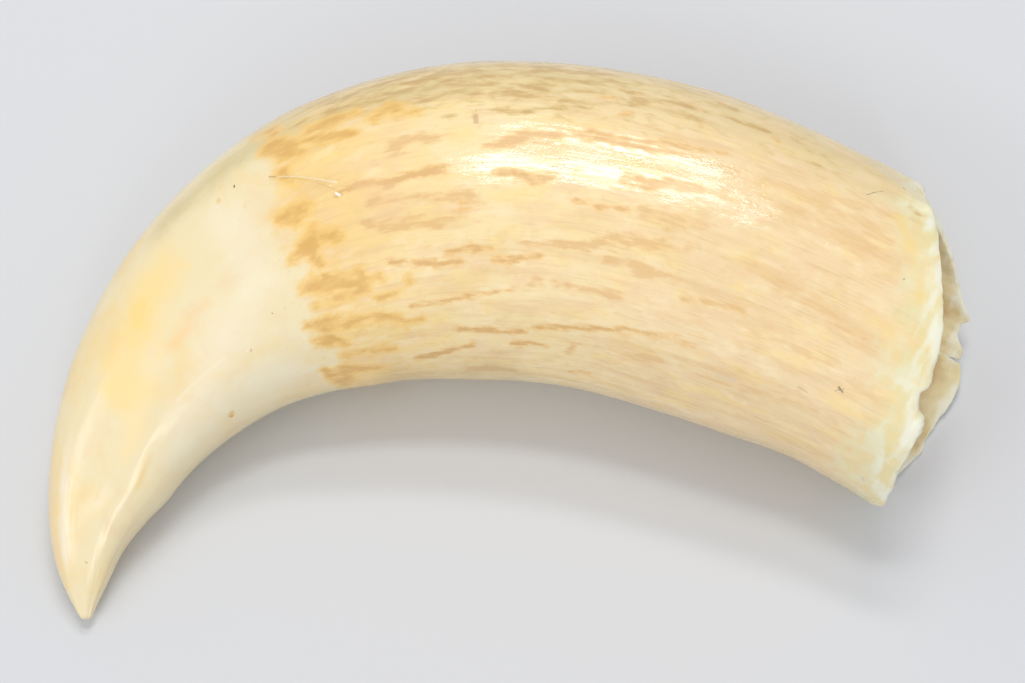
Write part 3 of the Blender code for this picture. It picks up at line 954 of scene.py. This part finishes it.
class Shading:
    """Adds and joins the nodes of one material."""

    # Sockets of Blender's Mix node for colours
    COLOUR_A, COLOUR_B, COLOUR_RESULT = 6, 7, 2

    def __init__(self, name: str) -> None:
        """Starts a material with a Principled shader.

        Args:
            name: Name of the material.
        """
        self.material = bpy.data.materials.new(name)
        self.material.use_nodes = True
        self.nodes = self.material.node_tree.nodes
        self.links = self.material.node_tree.links
        self.shader = self.nodes["Principled BSDF"]

    def plug(self, socket: Socket, value: Socket | float | tuple) -> None:
        """Joins a socket to another, or sets it to a fixed value.

        Args:
            socket: Input to fill.
            value: Socket to join to it, or the fixed value.
        """
        if isinstance(value, bpy.types.NodeSocket):
            self.links.new(value, socket)
        else:
            socket.default_value = value

    def attribute(self, name: str, output: str = "Fac") -> Socket:
        """Reads an attribute of the mesh.

        Args:
            name: Name of the attribute.
            output: Name of the result's socket.

        Returns:
            The attribute's value at each place.
        """
        node = self.nodes.new("ShaderNodeAttribute")
        node.attribute_name = name
        return node.outputs[output]

    def worked(self, kind: str, operation: str, values: tuple, output: int | str) -> Socket:
        """Adds a node that works on its inputs.

        Args:
            kind: Kind of node, as Blender spells it.
            operation: Name of the step, as Blender spells it.
            values: Its inputs, in order.
            output: Number or name of the result's socket.

        Returns:
            The result.
        """
        node = self.nodes.new(kind)
        node.operation = operation
        for socket, value in zip(node.inputs, values):
            self.plug(socket, value)
        return node.outputs[output]

    def math(self, operation: str, *values: Socket | float) -> Socket:
        """One step of arithmetic."""
        return self.worked("ShaderNodeMath", operation, values, 0)

    def vector(self, operation: str, *values: Socket | tuple, output: str = "Vector") -> Socket:
        """One step of arithmetic on vectors."""
        return self.worked("ShaderNodeVectorMath", operation, values, output)

    def total(self, *values: Socket | float) -> Socket:
        """Sum of all values."""
        return reduce(lambda first, second: self.math("ADD", first, second), values)

    def product(self, *values: Socket | float) -> Socket:
        """Product of all values."""
        return reduce(lambda first, second: self.math("MULTIPLY", first, second), values)

    def noise(
        self,
        place: Socket,
        size: Triple,
        detail: float,
        roughness: float,
        twist: float = 0.0,
        shift: float = 0.0,
    ) -> Socket:
        """Random ripples from 0 to 1.

        Args:
            place: Where to read them.
            size: Size of one ripple along each axis.
            detail: Layers of finer ripples.
            roughness: How strong the finer ripples are.
            twist: How much the ripples twist.
            shift: Moves the pattern, so that two of one size differ.

        Returns:
            The ripples' value.
        """
        scaled = self.nodes.new("ShaderNodeMapping")
        self.plug(scaled.inputs["Vector"], place)
        scaled.inputs["Scale"].default_value = [1 / s for s in size]
        scaled.inputs["Location"].default_value = (shift, shift, shift)
        node = self.nodes.new("ShaderNodeTexNoise")
        self.plug(node.inputs["Vector"], scaled.outputs[0])
        settings = {"Scale": 1.0, "Detail": detail, "Roughness": roughness, "Distortion": twist}
        for name, value in settings.items():
            node.inputs[name].default_value = value
        return node.outputs["Fac"]

    def step(self, value: Socket, start: float, end: float, low: float = 0.0, high: float = 1.0) -> Socket:
        """Soft step between two values.

        Args:
            value: What is measured.
            start: Value where the step begins.
            end: Value where it is complete.
            low: Result before the step.
            high: Result after it.

        Returns:
            The stepped value.
        """
        node = self.nodes.new("ShaderNodeMapRange")
        node.interpolation_type = "SMOOTHSTEP"
        names = ("Value", "From Min", "From Max", "To Min", "To Max")
        for name, given in zip(names, (value, start, end, low, high)):
            self.plug(node.inputs[name], given)
        return node.outputs["Result"]

    def blend(self, share: Socket, under: Socket | Tone, over: Tone | Socket) -> Socket:
        """Lays one colour over another.

        Args:
            share: How much of the upper colour shows.
            under: Lower colour.
            over: Upper colour.

        Returns:
            The blended colour.
        """
        node = self.nodes.new("ShaderNodeMix")
        node.data_type = "RGBA"
        self.plug(node.inputs["Factor"], share)
        for number, colour in ((self.COLOUR_A, under), (self.COLOUR_B, over)):
            self.plug(node.inputs[number], tint(*colour) if isinstance(colour, tuple) else colour)
        return node.outputs[self.COLOUR_RESULT]

    def from_line(self, place: Socket, start: Array, end: Array) -> Socket:
        """Distance of each place from the straight line between two points.

        Args:
            place: Where to measure.
            start: One end of the line.
            end: Its other end.

        Returns:
            The distance.
        """
        run = end - start
        from_start = self.vector("SUBTRACT", place, tuple(start))
        share = self.vector("DOT_PRODUCT", from_start, tuple(run / (run @ run)), output="Value")
        share = self.math("MINIMUM", self.math("MAXIMUM", share, 0.0), 1.0)
        scale = self.nodes.new("ShaderNodeVectorMath")
        scale.operation = "SCALE"
        scale.inputs[0].default_value = tuple(run)
        self.plug(scale.inputs["Scale"], share)
        return self.vector("DISTANCE", from_start, scale.outputs[0], output="Value")


@dataclass(frozen=True)
class StainLook:
    """Look of one kind of stain: a light tone with ragged edges, and a darker core.

    Steps are (start, end, low, high) of a soft step over the stroke's strength plus the ragged ripples.
    Ragged is how high each named ripple is. Spread is the strength that bare places count as, so that stray
    flecks of the stain show where the ripples are highest. Fades is whether it thins out rootward.
    """

    light: Tone
    core: Tone
    light_step: Step
    core_step: Step
    ragged: Swings
    spread: float = STROKE_FLOOR
    fades: bool = False


STAIN_LOOKS: dict[Stain, StainLook] = {
    Stain.SOFT_STREAK: StainLook(
        light=(236, 198, 140),
        core=(218, 176, 118),
        light_step=(-0.8, 0.4, 0.0, 0.56),
        core_step=(0.0, 0.9, 0.0, 0.46),
        ragged=(("torn", 2.8), ("fibre", 3.4), ("blob", 2.4)),
        fades=True,
    ),
    Stain.OLIVE: StainLook(
        light=(218, 190, 130),
        core=(190, 150, 90),
        light_step=(-0.8, 0.7, 0.0, 0.68),
        core_step=(0.0, 1.5, 0.0, 0.54),
        ragged=(("blob", 4.6), ("wide", 2.0), ("torn", 2.0), ("patch", 2.6)),
        spread=-2.0,
    ),
    Stain.BOLD_STREAK: StainLook(
        light=(238, 199, 134),
        core=(212, 168, 104),
        light_step=(-0.80, 0.10, 0.0, 0.85),
        core_step=(-0.30, 0.65, 0.0, 0.72),
        ragged=(("torn", 1.9), ("fibre", 1.8), ("blob", 1.6), ("speck", 1.0)),
        fades=True,
    ),
    Stain.FRINGE: StainLook(
        light=(243, 202, 120),
        core=(214, 166, 92),
        light_step=(-1.7, 0.4, 0.0, 0.82),
        core_step=(-0.4, 1.5, 0.0, 0.68),
        ragged=(("patch", 3.4), ("blob", 3.0), ("torn", 1.0)),
    ),
}


@dataclass(frozen=True)
class Patches:
    """Soft patches of one tone, where a named ripple runs over an edge."""

    ripple: str
    tone: Tone
    edge: Pair
    share: float


# Each ripple's size along each axis, detail, roughness, twist and shift
GRAIN_RIPPLES: dict[str, tuple] = {
    "wide": ((17.0, 2.6, 2.6), 3.0, 0.50, 0.15),
    "fibre": ((9.0, 0.85, 0.85), 2.0, 0.50),
    "hair": ((7.0, 0.28, 0.28), 2.0, 0.5, 0.0, 3.1),
    "torn": ((2.4, 0.75, 0.75), 2.0, 0.55, 0.1, 7.7),
    "blob": ((3.6, 1.8, 1.8), 2.0, 0.55, 0.3, 61.3),
    "patch": ((2.6, 1.5, 1.5), 3.0, 0.58, 0.2, 11.3),
    "yellow_cloud": ((9.0, 3.8, 3.8), 3.0, 0.55, 0.25, 21.9),
    "pink_cloud": ((8.0, 3.4, 3.4), 3.5, 0.58, 0.25, 34.3),
    "pale_cloud": ((6.0, 2.2, 2.2), 3.0, 0.55, 0.2, 47.1),
    "ring": ((2.2, 6.0, 6.0), 2.0, 0.45, 0.2, 53.9),
}
SPACE_RIPPLES: dict[str, tuple] = {
    "mottle": ((0.008, 0.008, 0.008), 3.0, 0.55, 0.3),
    "speck": ((0.0010, 0.0010, 0.0010), 4.0, 0.65, 0.5),
    "crown_cloud": ((0.014, 0.014, 0.014), 4.0, 0.55, 0.6, 5.3),
    "crown_pink": ((0.011, 0.011, 0.011), 4.0, 0.55, 0.6, 15.3),
}

BODY_YELLOW = (245, 210, 138)
FIBRE_BROWN = (202, 162, 114)
# Ochre deeper in the cavity: partly the wall's own ochre tint, partly painted shade of the hollow
HOLLOW_OCHRE_AND_SHADE = (198, 160, 98)

ROOT_PATCHES = (
    Patches("yellow_cloud", (248, 220, 148), (0.48, 0.68), 0.55),
    Patches("pink_cloud", (240, 206, 166), (0.50, 0.72), 0.50),
    Patches("pale_cloud", (250, 232, 192), (0.48, 0.72), 0.50),
    Patches("wide", (226, 188, 136), (0.50, 0.72), 0.42),
    Patches("fibre", (226, 188, 136), (0.52, 0.80), 0.26),
    Patches("patch", (230, 196, 138), (0.52, 0.78), 0.34),
    Patches("blob", (230, 194, 138), (0.53, 0.72), 0.28),
)
RIM_PATCHES = (
    Patches("ring", (234, 234, 206), (0.62, 0.38), 0.75),
    Patches("pink_cloud", (240, 212, 138), (0.48, 0.66), 0.6),
)
CROWN_PATCHES = (
    Patches("crown_cloud", (242, 216, 156), (0.46, 0.66), 0.85),
    Patches("crown_pink", (238, 212, 172), (0.52, 0.68), 0.45),
    Patches("mottle", BODY_YELLOW, (0.56, 0.76), 0.30),
)


@dataclass(frozen=True)
class PolishedToothFinish:
    """Polished dentine and cementum: ivory crown, streaked root, pale rim and an ochre hollow that darkens
    inward with painted shade.

    Steps are (start, end) or (start, end, low, high) of a soft step, over a distance in millimetres, a
    ripple or a share. Swings are how far named ripples move such a distance, from lowest to highest, and
    bumps are how high they stand.
    """

    inside: Step = (0.55, 0.95)
    crown: Tone = (240, 225, 184)
    crown_swings: Swings = (("mottle", 3.0), ("patch", 4.0))
    crown_step: Step = (-2.0, 1.6)
    crown_share: float = 0.97
    flecks: Patches = Patches("speck", FIBRE_BROWN, (0.60, 0.72), 0.30)
    fleck_reach: Step = (12.0, 3.0)
    body: Tone = (246, 224, 172)
    root: Tone = (240, 214, 168)
    root_swings: Swings = (("mottle", 40.0),)
    root_step: Step = (75.0, 30.0)
    yellow_swings: Swings = (("yellow_cloud", 20.0),)
    yellow_step: Step = (-34.0, -5.0, 0.0, 0.85)
    # Olive-cream along the outer curve's edge: partly olive tint, partly painted shade where that edge turns
    # away from the light
    outer_shade_and_olive: Tone = (222, 202, 150)
    outer_step: Step = (0.40, 0.85)
    outer_patches: Step = (0.60, 0.44, 0.35, 0.8)
    hair_step: Step = (0.50, 0.72)
    hair_along: Step = (85.0, 35.0, 0.10, 0.26)
    hair_patches: Step = (0.56, 0.46, 0.3, 1.0)
    rim_pale: Tone = (230, 220, 168)
    rim_swings: Swings = (("mottle", 8.0), ("yellow_cloud", 10.0), ("ring", 5.0))
    rim_step: Step = (10.5, 1.5, 0.0, 0.9)
    rim_white: Tone = (240, 240, 222)
    white_swings: Swings = (("ring", 11.0),)
    white_inside: float = 0.8
    white_step: Step = (3.2, -0.4, 0.0, 0.85)
    # The hollow's darkening with depth is painted shade mixed with its ochre tint
    hollow: Tone = (230, 216, 168)
    hollow_swings: Swings = (("mottle", 14.0),)
    hollow_shade_step: Step = (0.2, 6.5)
    hollow_patches: Patches = Patches("mottle", HOLLOW_OCHRE_AND_SHADE, (0.46, 0.66), 0.30)
    strength_limit: float = 0.9
    fading: Step = (26.0, 60.0, 0.50, 1.0)
    olive_curve: Step = (0.22, 0.66)
    olive_rootward: Step = (24.0, 70.0, 0.40, 1.0)
    olive_crownward: Step = (112.0, 98.0)
    olive_thinning: float = 0.55
    olive_gain: float = 2.4
    olive_floor: float = -2.0
    cloud_swings: Swings = (("mottle", 2.6), ("patch", 1.0))
    cloud_edge: Pair = (1.8, -0.3)
    mark_swings: Swings = (("speck", 1.4),)
    mark_step: Step = (1.15, 0.35)
    rough_mottle: Step = (0.3, 0.7, 0.10, 0.16)
    rough_fibre: Step = (0.48, 0.72, 0.0, 0.12)
    rough_rim: Step = (2.6, 0.6, 0.0, 0.22)
    rough_streak: float = 0.30
    rough_fringe: float = 0.08
    rough_crown: float = 0.10
    rough_inside: float = 0.28
    refraction: float = 1.55
    shine: float = 0.55
    bumps: Swings = (("fibre", 0.026), ("torn", 0.024), ("hair", 0.010), ("speck", 0.022))
    bump_inside: float = 0.10

    def build(self) -> bpy.types.Material:
        """Builds the material from the tooth's attributes."""
        return ToothPaint(self).material


class ToothPaint(Shading):
    """Nodes of the tooth's finish: its colour, gloss and fine relief."""

    def __init__(self, finish: PolishedToothFinish) -> None:
        """Reads the tooth's attributes and lays every coat.

        Args:
            finish: Tones and measures of the finish.
        """
        super().__init__("polished_tooth")
        self.finish = finish
        self.grain = self.attribute("grain", "Vector")
        split = self.nodes.new("ShaderNodeSeparateXYZ")
        self.plug(split.inputs[0], self.grain)
        self.along = split.outputs[0]
        self.outer_curve = self.math("DIVIDE", split.outputs[1], ROOT_RADIUS)
        self.from_crown, self.from_rim = self.attribute("crown"), self.attribute("from_rim")
        place = self.nodes.new("ShaderNodeTexCoord").outputs["Object"]
        self.ripples = {name: self.noise(self.grain, *look) for name, look in GRAIN_RIPPLES.items()}
        self.ripples |= {name: self.noise(place, *look) for name, look in SPACE_RIPPLES.items()}
        self.inside = self.step(self.attribute("inside"), *finish.inside)
        crownward = self.total(self.from_crown, *self.centred(finish.crown_swings))
        self.crown = self.step(crownward, *finish.crown_step)
        self.on_root = self.math("SUBTRACT", 1.0, self.crown)
        self.shown: dict[Stain, Socket] = {}
        pits, colour = self.marked(self.coats())
        self.plug(self.shader.inputs["Base Color"], colour)
        self.set_gloss()
        self.set_bump(pits)

    def centred(self, swings: Swings) -> list[Socket]:
        """Makes named ripples swing round 0.

        Args:
            swings: Each ripple's name, and its height from lowest to highest.

        Returns:
            The swinging ripples.
        """
        return [
            self.product(self.math("SUBTRACT", self.ripples[name], 0.5), height) for name, height in swings
        ]

    def patched(self, colour: Socket | Tone, patches: Patches, *within: Socket) -> Socket:
        """Lays patches over a colour, within the shares that are given."""
        share = self.step(self.ripples[patches.ripple], *patches.edge, 0.0, patches.share)
        return self.blend(self.product(*within, share), colour, patches.tone)

    def coats(self) -> Socket:
        """Lays root, stains, crown, clouds, hollow and white rim over each other.

        Returns:
            The colour without the small marks.
        """
        finish = self.finish
        colour = self.root_colour()
        for kind in (Stain.SOFT_STREAK, Stain.OLIVE, Stain.BOLD_STREAK):
            colour = self.stained(kind, colour)
        colour = self.blend(self.product(self.crown, finish.crown_share), colour, self.crown_colour())
        colour = self.stained(Stain.FRINGE, self.clouded(colour))
        colour = self.blend(self.inside, colour, self.hollow_colour())
        edge = self.total(self.from_rim, *self.centred(finish.white_swings))
        edge = self.math("MULTIPLY_ADD", self.inside, finish.white_inside, edge)
        return self.blend(self.step(edge, *finish.white_step), colour, finish.rim_white)

    def stained(self, kind: Stain, colour: Socket) -> Socket:
        """Lays one kind of stain over a colour, and keeps how much of it shows.

        Args:
            kind: Kind of stain.
            colour: Colour without it.

        Returns:
            The stained colour.
        """
        look, finish = STAIN_LOOKS[kind], self.finish
        strength = self.math("MAXIMUM", self.attribute(kind.value), look.spread)
        strength = self.math("MINIMUM", strength, finish.strength_limit)
        if kind is Stain.OLIVE:
            convex = self.product(
                self.step(self.outer_curve, *finish.olive_curve),
                self.step(self.along, *finish.olive_rootward),
                self.step(self.along, *finish.olive_crownward),
            )
            band = self.math("MULTIPLY_ADD", convex, finish.olive_gain, finish.olive_floor)
            strength = self.math("MAXIMUM", self.math("SUBTRACT", strength, finish.olive_thinning), band)
        strength = self.total(strength, *self.centred(look.ragged))
        light, core = self.step(strength, *look.light_step), self.step(strength, *look.core_step)
        if look.fades:
            fading = self.step(self.along, *finish.fading)
            light, core = self.product(light, fading), self.product(core, fading)
        self.shown[kind] = light
        return self.blend(core, self.blend(light, colour, look.light), look.core)

    def root_colour(self) -> Socket:
        """Cream near the crown and tan further down, in soft patches, with painted shade mixed with olive
        tint along the outer curve's edge, fine fibres and a pale rim.

        Returns:
            The colour.
        """
        finish, ripples = self.finish, self.ripples
        rootward = self.total(self.along, *self.centred(finish.root_swings))
        colour = self.blend(self.step(rootward, *finish.root_step), finish.body, finish.root)
        by_crown = self.total(self.from_crown, *self.centred(finish.yellow_swings))
        colour = self.blend(self.step(by_crown, *finish.yellow_step), colour, BODY_YELLOW)
        for patches in ROOT_PATCHES:
            colour = self.patched(colour, patches)
        # Painted shade mixed with olive tint, in patches along the outer curve's edge
        pale = self.step(ripples["pink_cloud"], *finish.outer_patches)
        pale = self.product(self.step(self.outer_curve, *finish.outer_step), pale)
        colour = self.blend(pale, colour, finish.outer_shade_and_olive)
        hair = self.product(
            self.step(ripples["hair"], *finish.hair_step),
            self.step(self.along, *finish.hair_along),
            self.step(ripples["pale_cloud"], *finish.hair_patches),
        )
        colour = self.blend(hair, colour, FIBRE_BROWN)
        rim = self.step(self.total(self.from_rim, *self.centred(finish.rim_swings)), *finish.rim_step)
        colour = self.blend(rim, colour, finish.rim_pale)
        for patches in RIM_PATCHES:
            colour = self.patched(colour, patches, rim)
        return colour

    def crown_colour(self) -> Socket:
        """Smooth ivory with faint yellow and pinkish clouds, and flecks near the root's coat.

        Returns:
            The colour.
        """
        colour: Socket | Tone = self.finish.crown
        for patches in CROWN_PATCHES:
            colour = self.patched(colour, patches)
        return self.patched(colour, self.finish.flecks, self.step(self.from_crown, *self.finish.fleck_reach))

    def hollow_colour(self) -> Socket:
        """Pale wall of the cavity that darkens to ochre as it gets deeper, partly its own ochre tint and
        partly painted shade of the hollow, and in ochre patches.

        Returns:
            The colour.
        """
        # Painted shade mixed with ochre tint, darker deeper in the cavity
        deep = self.step(
            self.total(self.from_rim, *self.centred(self.finish.hollow_swings)), *self.finish.hollow_shade_step
        )
        return self.patched(self.blend(deep, self.finish.hollow, HOLLOW_OCHRE_AND_SHADE), self.finish.hollow_patches)

    def from_mark(self, mark: Mark) -> Socket:
        """Distance from a mark's middle line.

        Args:
            mark: The mark.

        Returns:
            The distance, as a share of the mark's half-width.
        """
        ends = []
        for along, round_ in (mark.start, mark.end):
            turn = math.radians(round_)
            ends.append(np.array((along, math.cos(turn) * ROOT_RADIUS, math.sin(turn) * ROOT_RADIUS)))
        return self.math("DIVIDE", self.from_line(self.grain, *ends), mark.half_width)

    def clouded(self, colour: Socket) -> Socket:
        """Lays the soft blotches over a colour.

        Args:
            colour: Colour without the blotches.

        Returns:
            The colour with them.
        """
        uneven = self.total(*self.centred(self.finish.cloud_swings))
        for blotch in BLOTCHES:
            distance = self.total(self.from_mark(blotch), uneven)
            share = self.step(distance, *self.finish.cloud_edge, 0.0, blotch.share)
            colour = self.blend(share, colour, blotch.tone)
        return colour

    def marked(self, colour: Socket) -> tuple[Socket, Socket]:
        """Adds the small marks.

        Args:
            colour: Colour without the marks.

        Returns:
            How deep the marks are sunk, in millimetres, and the colour with them.
        """
        pits: Socket | float = 0.0
        uneven = self.centred(self.finish.mark_swings)
        for mark in MARKS:
            near = self.step(self.total(self.from_mark(mark), *uneven), *self.finish.mark_step)
            colour = self.blend(self.product(near, mark.share), colour, mark.tone)
            if mark.depth:
                pits = self.total(pits, self.product(near, mark.depth))
        return pits, colour

    def set_gloss(self) -> None:
        """Sets gloss: high on polished skin, low in the streaks and in the cavity."""
        finish, inputs = self.finish, self.shader.inputs
        rough = self.total(
            self.step(self.ripples["mottle"], *finish.rough_mottle),
            self.product(self.step(self.ripples["fibre"], *finish.rough_fibre), self.on_root),
            self.product(self.shown[Stain.BOLD_STREAK], finish.rough_streak),
            self.product(self.shown[Stain.FRINGE], finish.rough_fringe),
            self.product(self.crown, finish.rough_crown),
            self.step(self.from_rim, *finish.rough_rim),
            self.product(self.inside, finish.rough_inside),
        )
        self.plug(inputs["Roughness"], rough)
        inputs["IOR"].default_value = finish.refraction
        inputs["Specular IOR Level"].default_value = finish.shine

    def set_bump(self, pits: Socket) -> None:
        """Sets the fine relief, as heights in millimetres.

        Args:
            pits: Depth of the small marks.
        """
        height = self.total(
            *(self.product(self.ripples[name], size, self.on_root) for name, size in self.finish.bumps),
            self.product(self.ripples["speck"], self.inside, self.finish.bump_inside),
        )
        bump = self.nodes.new("ShaderNodeBump")
        bump.inputs["Strength"].default_value = 1.0
        bump.inputs["Distance"].default_value = METRES
        self.plug(bump.inputs["Height"], self.math("SUBTRACT", height, pits))
        self.plug(self.shader.inputs["Normal"], bump.outputs[0])


@dataclass
class SpermWhaleTooth:
    """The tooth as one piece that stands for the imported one."""

    name: str = "polished_tooth_skin"
    shape: ToothShape = field(default_factory=ToothShape)
    finish: PolishedToothFinish = PolishedToothFinish()

    def build(self) -> bpy.types.Object:
        """Builds and dresses the tooth.

        Returns:
            The tooth's object.
        """
        mesh = self.shape.build(self.name)
        mesh.materials.append(self.finish.build())
        tooth = bpy.data.objects.new(self.name, mesh)
        bpy.context.scene.collection.objects.link(tooth)
        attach(tooth, "root")
        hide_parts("tooth")
        return tooth


@dataclass(frozen=True)
class PaleFloor:
    """Plain pale floor that the tooth lies on, a wide round disc."""

    radius: float = 6.0
    sides: int = 96
    colour: Tone = (214, 216, 220)
    roughness: float = 0.75

    def build(self) -> bpy.types.Object:
        """Builds the floor.

        Returns:
            The floor's object.
        """
        turns = np.linspace(0.0, 2 * math.pi, self.sides, endpoint=False)
        rim = [(math.cos(turn) * self.radius, math.sin(turn) * self.radius, 0.0) for turn in turns]
        mesh = bpy.data.meshes.new("pale_floor")
        mesh.from_pydata(rim, [], [tuple(range(self.sides))])
        s = Shading("pale_floor")
        s.shader.inputs["Base Color"].default_value = tint(*self.colour)
        s.shader.inputs["Roughness"].default_value = self.roughness
        mesh.materials.append(s.material)
        floor = bpy.data.objects.new("pale_floor", mesh)
        bpy.context.scene.collection.objects.link(floor)
        return floor


@dataclass(frozen=True)
class SoftBox:
    """A flat studio light that faces the tooth."""

    name: str
    direction: Triple
    distance: float
    size: Pair
    power: float
    colour: Triple = (1.0, 0.99, 0.98)
    target: Triple = (0.0, 0.0, 0.03)

    def build(self) -> None:
        """Hangs the light."""
        light = bpy.data.lights.new(self.name, "AREA")
        light.shape = "RECTANGLE"
        light.size, light.size_y = self.size
        light.energy = self.power
        light.color = self.colour
        holder = bpy.data.objects.new(self.name, light)
        direction = Vector(self.direction).normalized()
        holder.location = Vector(self.target) + direction * self.distance
        holder.rotation_euler = direction.to_track_quat("Z", "Y").to_euler()
        bpy.context.scene.collection.objects.link(holder)


@dataclass(frozen=True)
class Studio:
    """Lights and the light of the room round them."""

    lights: tuple[SoftBox, ...] = (
        SoftBox("back_key_light", (0.07, 0.48, 0.87), 0.80, (0.26, 0.08), 1.15),
        SoftBox("top_key_light", (0.00, 0.22, 0.975), 0.80, (0.28, 0.10), 1.40),
        SoftBox("front_fill", (-0.35, -0.75, 0.60), 1.80, (2.2, 1.6), 5.9),
        SoftBox("left_strip", (-0.680, -0.390, 0.622), 1.20, (0.56, 0.14), 1.10),
        SoftBox("front_strip", (0.092, -0.749, 0.656), 1.20, (0.10, 0.26), 0.80),
    )
    room_colour: tuple[float, float, float, float] = (1.0, 1.0, 1.0, 1.0)
    room_strength: float = 0.585

    def build(self) -> None:
        """Hangs the lights and sets the room's light and the picture's plain tone."""
        for light in self.lights:
            light.build()
        world = bpy.data.worlds.new("room")
        world.use_nodes = True
        background = world.node_tree.nodes["Background"]
        background.inputs["Color"].default_value = self.room_colour
        background.inputs["Strength"].default_value = self.room_strength
        bpy.context.scene.world = world
        bpy.context.scene.view_settings.view_transform = "Standard"


@dataclass(frozen=True)
class PhotoCamera:
    """Camera that looks down on the tooth, in front of it. Its target is in millimetres."""

    target: Triple = (-1.37, -2.79, 20.0)
    elevation: float = 65.0
    distance: float = 359.1
    lens: float = 45.0
    sensor_width: float = 22.3
    nearest: float = 0.01

    def build(self) -> None:
        """Places the camera and makes it the scene's."""
        data = bpy.data.cameras.new("photo_camera")
        data.lens = self.lens
        data.sensor_width = self.sensor_width
        data.clip_start = self.nearest
        camera = bpy.data.objects.new("photo_camera", data)
        angle = math.radians(self.elevation)
        away = Vector((0.0, -math.cos(angle), math.sin(angle)))
        camera.location = (Vector(self.target) + away * self.distance) * METRES
        camera.rotation_euler = away.to_track_quat("Z", "Y").to_euler()
        bpy.context.scene.collection.objects.link(camera)
        bpy.context.scene.camera = camera


def main() -> None:
    """Builds the camera, the tooth and the studio."""
    logging.basicConfig(level=logging.INFO, format="%(name)s: %(message)s")
    PhotoCamera().build()
    tooth = SpermWhaleTooth().build()
    log.info("%s: %d faces, finish %s", tooth.name, len(tooth.data.polygons), tooth.data.materials[0].name)
    floor = PaleFloor().build()
    log.info("%s: stage", floor.name)
    Studio().build()


if __name__ == "__main__":
    main()
